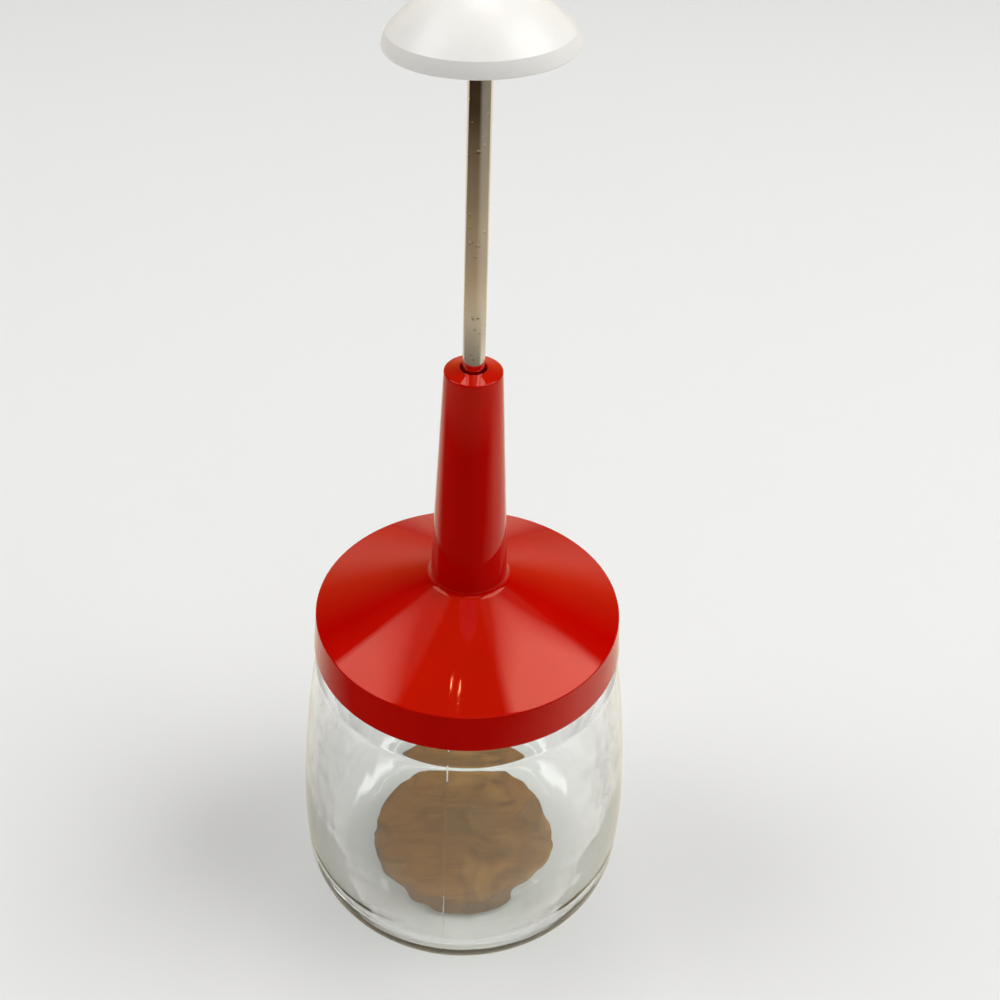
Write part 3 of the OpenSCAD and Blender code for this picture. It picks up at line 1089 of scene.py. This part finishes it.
@dataclass
class Lid:
    """Red lid in one moulding with its tower, and the liner and guide bush held in it."""

    edge_r: float = 41.5
    skirt_flare: float = 0.9
    skirt_wall: float = 1.6
    cone_wall: float = 2.0
    cone_h: float = 12.8
    edge_z: float = 104.4
    skirt_z: float = 92.9
    landing_z: float = 101.2
    landing_r: float = 35.2
    tower_top_r: float = 7.2
    tower_foot_r: float = 10.3
    tower_crown: float = 0.8
    hole_r: float = 3.3
    bore_top_r: float = 5.05
    bore_top_z: float = 178.1
    spring_z: float = 107.5
    boss_z: float = 104.5
    boss_r: float = 10.53
    plug_r: float = 8.73
    play: float = 0.04
    foot_fillet: float = 1.8
    edge_round: float = 0.45

    @property
    def tower_z(self) -> float:
        """Height of the tower's top."""
        return node_box("lid")[1].z

    @property
    def slope(self) -> float:
        """Fall of the cone in degrees."""
        return math.degrees(math.atan2(self.cone_h, self.edge_r - self.tower_foot_r))

    def cone_z(self, radius: float) -> float:
        """Height of the cone's outside at a radius."""
        share = (self.edge_r - radius) / (self.edge_r - self.tower_foot_r)
        return self.edge_z + self.cone_h * share

    def outside(self) -> list[Point]:
        """Profile from the skirt's rim up to the edge of the hole in the tower's top.

        Returns:
            The points of the profile.
        """
        cone_top_z = self.edge_z + self.cone_h
        top_z = self.tower_z - self.tower_crown
        lean = math.degrees(math.atan2(self.tower_foot_r - self.tower_top_r, top_z - cone_top_z))
        climb = math.degrees(math.atan2(self.tower_crown, self.tower_top_r - self.hole_r))
        slope = math.radians(self.slope)
        reach = self.foot_fillet * math.tan(math.radians(90 - lean - self.slope) / 2)
        foot_x = self.tower_foot_r + reach * math.cos(slope) + self.foot_fillet * math.sin(slope)
        foot_z = cone_top_z - reach * math.sin(slope) + self.foot_fillet * math.cos(slope)
        rim_r = self.edge_r + self.skirt_flare
        rim = arc(rim_r - 0.35, self.skirt_z + 0.35, 0.35, -90, 0, 4)
        edge = arc(self.edge_r - self.edge_round, self.edge_z - self.edge_round, self.edge_round,
                   0, 90 - self.slope, 5)
        foot = arc(foot_x, foot_z, self.foot_fillet, 270 - self.slope, 180 + lean, 9)
        top = arc(self.tower_top_r - 0.4, top_z - 0.4, 0.4, lean, 90 - climb, 5)
        hole = arc(self.hole_r + 0.25, self.tower_z - 0.25, 0.25, 90, 180, 4)
        return rim + edge + foot + top + hole

    def inside(self) -> list[Point]:
        """Profile from the hole down the bore, under the cone and back to the skirt's rim.

        Returns:
            The points of the profile.
        """
        drop = self.cone_wall / math.cos(math.radians(self.slope))
        inner_r = self.edge_r - self.skirt_wall
        return [(self.hole_r, self.bore_top_z), (self.bore_top_r, self.bore_top_z),
                (self.plug_r - 0.25, self.spring_z), (self.plug_r, self.spring_z),
                (self.plug_r, self.boss_z), (self.boss_r - 0.3, self.boss_z),
                (self.boss_r, self.boss_z + 0.3), (self.boss_r, self.cone_z(self.boss_r) - drop),
                (self.landing_r, self.cone_z(self.landing_r) - drop),
                (self.landing_r, self.landing_z), (inner_r, self.landing_z),
                (inner_r + self.skirt_flare, self.skirt_z)]

    def shell(self) -> Object:
        """Turns the lid in one piece.

        Returns:
            The lid.
        """
        outside = self.outside()
        profile = hold(outside + self.inside() + outside[:1])
        return lathe("red_lid", profile, steps=160, angle=28)

    def inner_thread(self) -> Object:
        """Makes the thread inside the skirt, a little below the jar's."""
        radius = self.edge_r - self.skirt_wall + self.skirt_flare * 0.5
        return thread("lid_inner_thread", radius, 0.8, self.skirt_z + 1.1, turns=0.85)

    def bush(self) -> Object:
        """Turns the nylon bush in the tower's foot.

        Returns:
            The bush.
        """
        low, high = node_box("guide_bush")
        flange_r, flange_z = high.x, self.boss_z - self.play
        plug_r, bore_r, soft = self.plug_r - self.play, 2.75, 0.25
        profile = [(bore_r + soft, low.z), (flange_r - soft, low.z), (flange_r, low.z + soft),
                   (flange_r, flange_z - soft), (flange_r - soft, flange_z), (plug_r, flange_z),
                   (plug_r, high.z - soft), (plug_r - soft, high.z), (bore_r + soft, high.z),
                   (bore_r, high.z - soft), (bore_r, low.z + soft), (bore_r + soft, low.z)]
        return lathe("nylon_guide_bush", profile, steps=64)

    def build(self) -> None:
        """Builds the lid and what it holds, and dresses them."""
        red = RED_PLASTIC.material()
        fit_out(self.shell(), Body.LID, Slot.RED, red, "lid")
        fit_out(self.inner_thread(), Body.LID, Slot.RED, red)
        liner = ring("liner_ring", "lid_liner", self.landing_r + 0.6, 0.15, steps=96)
        fit_out(liner, Body.LINER, Slot.LINER, BOARD.material(), "lid_liner")
        fit_out(self.bush(), Body.LID, Slot.NYLON, NYLON.material(), "guide_bush")


@dataclass
class Plunger:
    """Rod, knob, spring, stops and blades: everything that moves with the hand."""

    rod_r: float = 2.7
    groove_depth: float = 0.5
    tenon_r: float = 1.95
    shoulder_z: float = 89.3
    wire_r: float = 0.45
    curls: int = 13
    band_h: float = 3.4
    band_lean: float = 1.0
    tilt: tuple[float, float] = (-0.9, -1.9)
    knob_wall: float = 2.0
    knob_ribs: int = 6
    rib_t: float = 1.4
    knob_boss_r: float = 5.3
    play: float = 0.04

    def rod(self) -> Object:
        """Turns the rod with its groove, shoulder and tenon.

        Returns:
            The rod.
        """
        low, high = node_box("plunger_rod")
        clip_low, clip_high = node_box("retaining_clip")
        soft = 0.25
        groove_r = self.rod_r - self.groove_depth
        profile = [(0.0, low.z), (self.tenon_r - soft, low.z), (self.tenon_r, low.z + soft),
                   (self.tenon_r, self.shoulder_z), (self.rod_r - 0.1, self.shoulder_z),
                   (self.rod_r, self.shoulder_z + 0.1),
                   (self.rod_r, clip_low.z - self.play), (groove_r, clip_low.z - self.play),
                   (groove_r, clip_high.z + self.play), (self.rod_r, clip_high.z + self.play),
                   (self.rod_r, high.z - 0.5), (self.rod_r - 0.5, high.z), (0.0, high.z)]
        return lathe("chromed_rod", hold(profile), steps=72)

    def knob_profile(self) -> list[Point]:
        """Profile of the hollow knob, from its crown round its rim to the boss for the rod.

        Returns:
            The points of the profile.
        """
        low, high = node_box("knob")
        radius = (high.x - low.x) / 2
        height = high.z - low.z
        edge_r = radius - self.band_lean
        crown_h = height - self.band_h
        shares = [i / 14 for i in range(15)]
        crown = [(edge_r * share, height - crown_h * share ** 2) for share in shares]
        band = [(radius - self.band_lean * 0.3, self.band_h * 0.55)]
        rim = arc(radius - 0.5, 0.5, 0.5, 0, -90, 8) + [(radius - self.knob_wall + 0.3, 0.0)]
        inner_edge = edge_r - self.knob_wall
        inner = [(radius - self.knob_wall, 0.4), (inner_edge, self.band_h)]
        top, fall = height - self.knob_wall, crown_h - self.knob_wall
        under = [(inner_edge * share, top - fall * share ** 2) for share in reversed(shares)
                 if inner_edge * share > self.knob_boss_r]
        hole_r = self.rod_r + self.play
        hole_z = node_box("plunger_rod")[1].z - low.z + self.play
        boss = [(self.knob_boss_r, under[-1][1]), (self.knob_boss_r, 1.3),
                (self.knob_boss_r - 0.3, 1.0), (hole_r, 1.0), (hole_r, hole_z), (0.0, hole_z)]
        points = crown + band + rim + inner + under + boss
        return [(x, z + low.z) for x, z in points]

    def knob_rib(self, turn: float) -> Object:
        """Makes one rib between the knob's boss and its shell, turned about the axis.

        Args:
            turn: Angle of the rib in degrees.

        Returns:
            The rib.
        """
        low, high = node_box("knob")
        height = high.z - low.z
        radius = (high.x - low.x) / 2
        start, end = self.knob_boss_r - 0.4, radius - self.band_lean - self.knob_wall / 2
        rise = height - self.band_h - self.knob_wall / 2
        reaches = [end + (start - end) * i / 8 for i in range(9)]
        top = [(reach, self.band_h + rise * (1 - (reach / end) ** 2)) for reach in reaches]
        rim_r = radius - self.knob_wall / 2 - 0.6
        outline = [(start, 1.6), (rim_r, 1.6)] + top + [(start, 1.6)]
        obj = draw_path("knob_rib", [(x, z + low.z) for x, z in outline])
        bpy.ops.mesh.select_all(action="SELECT")
        bpy.ops.mesh.remove_doubles(threshold=MERGE)
        bpy.ops.mesh.edge_face_add()
        bpy.ops.object.mode_set(mode="OBJECT")
        settle(obj)
        plate = obj.modifiers.new("plate", "SOLIDIFY")
        plate.thickness = self.rib_t * MM
        plate.offset = 0.0
        apply_modifiers(obj)
        obj.rotation_euler = (0.0, 0.0, math.radians(turn))
        settle(obj)
        return obj

    def knob(self) -> Object:
        """Turns the knob, sets its ribs inside and leans it as it sits on the rod.

        Returns:
            The knob.
        """
        body = lathe("white_knob", self.knob_profile(), steps=128, angle=16)
        ribs = [self.knob_rib(360.0 * i / self.knob_ribs) for i in range(self.knob_ribs)]
        obj = join(body, ribs)
        foot = Vector((0.0, 0.0, (node_box("knob")[0].z - 0.05) * MM))
        lean = Euler([math.radians(angle) for angle in self.tilt] + [0.0]).to_matrix()
        obj.rotation_euler = lean.to_euler()
        obj.location = foot - lean @ foot
        settle(obj)
        return obj

    def spring(self) -> Object:
        """Winds the return spring, with its wire's ends closed.

        Returns:
            The spring.
        """
        low, high = node_box("return_spring")
        rise = (high.z - low.z - 2 * self.wire_r) / self.curls
        return wind("return_spring_wire", high.x - self.wire_r, low.z + self.wire_r, self.wire_r,
                    1.0, 1.0, rise, steps=28, windings=self.curls, fill="NOTHING")

    def nut(self) -> Object:
        """Shapes the hexagon nut under the carrier, with chamfered corners and a bore.

        Returns:
            The nut.
        """
        low, high = node_box("blade_nut")
        middle = (0, 0, (low.z + high.z) / 2 * MM)
        deselect_all()
        bpy.ops.mesh.primitive_cylinder_add(vertices=6, radius=(high.x - low.x) / 2 * MM,
                                            depth=(high.z - low.z) * MM, location=middle,
                                            rotation=(0, 0, math.radians(30)))
        obj = added("hexagon_nut")
        settle(obj)
        edit_all(obj)
        bpy.ops.mesh.bevel(offset=0.35 * MM, segments=2, affect="EDGES")
        settle(obj)
        deselect_all()
        bpy.ops.mesh.primitive_cylinder_add(vertices=48, radius=(self.tenon_r + self.play) * MM,
                                            depth=20 * MM, location=middle)
        drill = added("drill")
        bore = obj.modifiers.new("bore", "BOOLEAN")
        bore.operation = "DIFFERENCE"
        bore.object = drill
        bore.solver = "EXACT"
        apply_modifiers(obj)
        bpy.data.objects.remove(drill)
        smooth(obj, 30)
        return obj

    def build(self) -> None:
        """Builds the plunger's pieces and dresses them."""
        chrome, steel, wire = CHROME.material(), SHEET_STEEL.material(), WIRE.material()
        fit_out(self.rod(), Body.PLUNGER, Slot.CHROME, chrome, "plunger_rod")
        fit_out(self.knob(), Body.PLUNGER, Slot.KNOB, KNOB_PLASTIC.material(), "knob")
        washer = ring("lower_washer", "blade_washer", self.tenon_r + self.play, 0.12, steps=64)
        fit_out(washer, Body.PLUNGER, Slot.BLADE, steel, "blade_washer")
        seat = ring("upper_spring_seat", "spring_washer", self.rod_r + 0.05, 0.12, steps=64)
        fit_out(seat, Body.COLLAR, Slot.SPRING, wire, "spring_washer")
        fit_out(self.nut(), Body.PLUNGER, Slot.CHROME, chrome, "blade_nut")
        spring = self.spring()
        fit_out(spring, Body.LID, Slot.SPRING, wire, "return_spring")
        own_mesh(spring)
        for node in ("blade_carrier", "front_blade", "rear_blade"):
            dress_node(node, steel)
        dress_node("retaining_clip", BLACK_STEEL.material())


# ---- stage


@dataclass
class Lamp:
    """A soft oblong lamp that looks at the middle of the object, and may fade at its sides.

    Angles are in degrees and lengths in metres. The azimuth grows from behind the object to its
    right, fade is the place of the upper edge as a share of the width, and glow is the share of
    light past it.
    """

    name: str
    azimuth: float
    elevation: float
    long: float
    wide: float
    radiance: float
    roll: float = 0.0
    fade: float = 0.0
    glow: float = 0.0
    distance: float = 2.2

    def build(self, target: Vector) -> None:
        """Adds the lamp.

        Args:
            target: The point that it looks at.
        """
        turn, rise = math.radians(self.azimuth), math.radians(self.elevation)
        away = Vector((math.sin(turn) * math.cos(rise), math.cos(turn) * math.cos(rise),
                       math.sin(rise)))
        light = bpy.data.lights.new(self.name, "AREA")
        light.shape = "RECTANGLE"
        light.size = self.long
        light.size_y = self.wide
        light.energy = self.radiance * math.pi * self.long * self.wide
        if self.fade:
            self.soften_side(light)
        obj = add_object(self.name, light)
        obj.location = target + away * self.distance
        obj.rotation_mode = "QUATERNION"
        obj.rotation_quaternion = (away.to_track_quat("Z", "Y")
                                   @ Quaternion((0.0, 0.0, 1.0), math.radians(self.roll)))

    def soften_side(self, light: bpy.types.Light) -> None:
        """Lets the lamp fade gently at its lower side and ends, and sharply at its upper side.

        Args:
            light: The lamp's own light.
        """
        light.use_nodes = True
        sheet = Sheet(light.node_tree)
        along, across, _ = sheet.axes(sheet.add("ShaderNodeNewGeometry").outputs["Parametric"])
        lower = sheet.ramp(across, 0.0, 0.5, 0.15, 1.0)
        upper = sheet.ramp(across, self.fade - 0.03, self.fade + 0.03, 1.0, 0.0)
        glow = sheet.ramp(across, self.fade, 1.0, self.glow, 0.0)
        side = sheet.math("MULTIPLY", lower, sheet.math("MAXIMUM", upper, glow))
        off = sheet.math("ABSOLUTE", sheet.math("SUBTRACT", along, 0.5))
        ends = sheet.ramp(off, 0.4, 0.5, 1.0, 0.0)
        share = sheet.math("MULTIPLY", side, ends)
        sheet.link(share, light.node_tree.nodes["Emission"].inputs["Strength"])


LAMPS = (Lamp("soft_left", -86.0, 48.5, 1.15, 2.6, 3.8, roll=41.0, fade=0.74, glow=0.18),
         Lamp("soft_right", 87.0, 55.0, 1.6, 2.6, 5.2, roll=-52.0, fade=0.705, glow=0.08),
         Lamp("soft_front", 165.0, 48.0, 1.2, 1.2, 0.8),
         Lamp("soft_back", 0.0, 68.0, 0.75, 0.75, 4.0))


@dataclass
class Stage:
    """Pale floor and backdrop, lamps and the camera at the photograph's angle.

    Mirror images in the red plastic and the rod show a warm, dim room in place of the floor and
    the world that the camera sees. Lengths are in metres.
    """

    camera_place: tuple[float, float, float] = (0.0, -0.27485, 0.35963)
    pitch: float = 38.43
    yaw: float = 1.58
    roll: float = 2.34
    focal_px: float = 1364.0
    image_px: float = 1000.0
    sensor_mm: float = 36.0
    # What the camera sees.
    floor_size: float = 12.0
    floor_colour: Colour = (0.85, 0.85, 0.84)
    backdrop_colour: Colour = (0.80, 0.80, 0.79)
    # Light of the world, and what shows through the glass.
    horizon_colour: Colour = (0.60, 0.60, 0.60)
    side_colour: Colour = (0.09, 0.09, 0.09)
    upper_colour: Colour = (0.34, 0.34, 0.34)
    through_colour: Colour = (0.60, 0.61, 0.58)
    gap_colour: Colour = (0.14, 0.14, 0.125)
    # The room in mirror images: its floor, then its walls and ceiling.
    near_colour: Colour = (0.86, 0.80, 0.64)
    room_edge: float = -0.10
    room_colour: Colour = (0.04, 0.022, 0.010)
    brown_colour: Colour = (0.46, 0.34, 0.21)
    warm_colour: Colour = (0.88, 0.76, 0.56)
    foot_colour: Colour = (0.34, 0.24, 0.13)
    glow_colour: Colour = (0.70, 0.42, 0.12)
    dim_colour: Colour = (0.02, 0.008, 0.004)
    ceiling_colour: Colour = (0.55, 0.35, 0.06)
    # The lamps' aim, and two bulbs that only show as spots of light.
    aim: tuple[float, float, float] = (0.0, 0.0, 0.12)
    bulb_places: Sequence[Sequence[float]] = ((-0.191, -0.065, 2.1), (-0.086, -0.082, 2.1))
    bulb_energy: float = 0.16
    bulb_radius: float = 0.006
    bulb_colour: Colour = (1.0, 0.82, 0.55)

    def camera(self) -> None:
        """Adds the camera, from the values solved on the photograph's circles."""
        pitch, yaw, roll = (math.radians(a) for a in (self.pitch, self.yaw, self.roll))
        forward = Vector((math.sin(yaw) * math.cos(pitch), math.cos(yaw) * math.cos(pitch),
                          -math.sin(pitch)))
        level = Vector((math.cos(yaw), -math.sin(yaw), 0.0))
        upright = level.cross(forward)
        right = math.cos(roll) * level + math.sin(roll) * upright
        up = math.cos(roll) * upright - math.sin(roll) * level
        data = bpy.data.cameras.new("photo_camera")
        data.sensor_width = self.sensor_mm
        data.lens = self.focal_px / self.image_px * self.sensor_mm
        data.clip_start = 0.01
        obj = add_object("photo_camera", data)
        turned = Matrix((right, up, -forward)).transposed()
        obj.matrix_world = Matrix.Translation(self.camera_place) @ turned.to_4x4()
        bpy.context.scene.camera = obj

    def floor_material(self) -> Material:
        """Matt pale floor, which the camera sees turn into the backdrop far away.

        Returns:
            The material.
        """
        dressing = Dressing("pale_floor")
        sheet, black = dressing.sheet, (0.0, 0.0, 0.0)
        drift = dressing.drift(1.4, self.floor_colour, tuple(0.985 * c for c in self.floor_colour))
        room = self.mirrored_room(sheet, dressing.place)
        shown = sheet.blend(self.mirror_rays(sheet), drift, room)
        seen = sheet.add("ShaderNodeLightPath").outputs["Is Camera Ray"]
        far = sheet.math("MULTIPLY", sheet.ramp(sheet.length(dressing.place), 1.0, 2.2), seen)
        dressing.feed("Base Color", sheet.blend(far, shown, black))
        dressing.feed("Emission Color", sheet.blend(far, black, self.backdrop_colour))
        dressing.plain(Roughness=1.0, Specular_IOR_Level=0.0, Emission_Strength=1.0)
        return dressing.material

    def mirror_rays(self, sheet: Sheet) -> Socket:
        """Mask of the rays that a shiny surface mirrors, without those that went through glass.

        Args:
            sheet: The node tree that it goes into.

        Returns:
            The mask.
        """
        ray = sheet.add("ShaderNodeLightPath").outputs
        mirrored = sheet.math("MULTIPLY", ray["Is Glossy Ray"], ray["Is Reflection Ray"])
        outside = sheet.math("LESS_THAN", ray["Transmission Depth"], 0.5)
        return sheet.math("MULTIPLY", mirrored, outside)

    def mirrored_room(self, sheet: Sheet, place: Socket) -> Socket:
        """Colour of the floor in mirror images.

        Args:
            sheet: The floor's node tree.
            place: Coordinates on the floor.

        Returns:
            The colour: pale round and behind the object, dark close in front of it, and brown
            to dark farther off.
        """
        x, y, _ = sheet.axes(place)
        reach = sheet.length(place)
        brown = sheet.blend(sheet.ramp(reach, 0.34, 0.60), self.brown_colour, self.room_colour)
        away = sheet.math("MULTIPLY", sheet.ramp(reach, 0.25, 0.36),
                          sheet.ramp(x, 0.0, 0.3, 1.0, 0.75))
        away = sheet.math("MULTIPLY", away, sheet.ramp(y, 0.2, 0.34, 1.0, 0.0))
        behind = sheet.blend(sheet.ramp(y, 0.1, 0.5), self.near_colour, self.warm_colour)
        colour = sheet.blend(away, behind, brown)
        left = sheet.math("MAXIMUM", sheet.math("MULTIPLY", x, -0.9), 0.0)
        edge = sheet.math("ADD", left, self.room_edge)
        ahead = sheet.ramp(sheet.math("SUBTRACT", edge, y), -0.06, 0.06)
        share = sheet.math("MULTIPLY", ahead, sheet.ramp(reach, 0.275, 0.335, 0.95, 0.0))
        return sheet.blend(share, colour, self.room_colour)

    def floor(self) -> None:
        """Adds the floor."""
        deselect_all()
        bpy.ops.mesh.primitive_plane_add(size=self.floor_size, location=(0.0, 0.0, 0.0))
        floor = added("stage_floor")
        floor.data.materials.append(self.floor_material())

    def world(self) -> None:
        """Sets the world: soft light, a room for mirror images, a backdrop for the camera."""
        world = bpy.data.worlds.new("soft_room")
        bpy.context.scene.world = world
        world.use_nodes = True
        sheet = Sheet(world.node_tree)
        direction = sheet.add("ShaderNodeTexCoord").outputs["Generated"]
        _, depth, height = sheet.axes(direction)
        low = sheet.ramp(height, 0.12, 0.34, 1.0, 0.0)
        wall = sheet.math("MULTIPLY", low, sheet.ramp(depth, -0.35, 0.45))
        ceiling = sheet.ramp(height, 0.6, 0.95)
        ray = sheet.add("ShaderNodeLightPath").outputs
        pattern = sheet.noise(sheet.stretched(direction, (1.0, 1.0, 0.4)), 3.4, 2.0)
        through = sheet.blend(sheet.ramp(pattern, 0.42, 0.6), self.gap_colour, self.through_colour)
        sides = sheet.blend(ray["Is Transmission Ray"], self.side_colour, through)
        above = sheet.blend(ceiling, sides, self.upper_colour)
        light = sheet.blend(wall, above, self.horizon_colour)
        over = sheet.blend(ceiling, self.dim_colour, self.ceiling_colour)
        over = sheet.blend(sheet.ramp(depth, 0.55, 0.9), over, self.glow_colour)
        back = sheet.blend(sheet.ramp(height, 0.0, 0.2), self.foot_colour, self.warm_colour)
        colour = sheet.blend(self.mirror_rays(sheet), light, sheet.blend(wall, over, back))
        colour = sheet.blend(ray["Is Camera Ray"], colour, self.backdrop_colour)
        background = world.node_tree.nodes["Background"]
        sheet.link(colour, background.inputs["Color"])
        background.inputs["Strength"].default_value = 1.0

    def lamps(self) -> None:
        """Adds the soft lamps and the small bulbs."""
        for lamp in LAMPS:
            lamp.build(Vector(self.aim))
        for i, place in enumerate(self.bulb_places):
            light = bpy.data.lights.new(f"bulb_{i}", "POINT")
            light.energy = self.bulb_energy
            light.color = self.bulb_colour
            light.shadow_soft_size = self.bulb_radius
            add_object(light.name, light).location = place

    def build(self) -> None:
        """Builds the whole stage."""
        self.camera()
        self.floor()
        self.world()
        self.lamps()
        bpy.context.scene.view_settings.view_transform = "Standard"


def write_sizes() -> None:
    """Updates the view layer; no boxes are written."""
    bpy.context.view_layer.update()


def main() -> None:
    """Builds the stage and each sub-assembly in order."""
    logging.basicConfig(level=logging.INFO, format="%(name)s: %(message)s")
    builders: list[Callable[[], None]] = [Stage().build, Jar().build, Lid().build, Plunger().build]
    for build in builders:
        build()
    write_sizes()


if __name__ == "__main__":
    main()
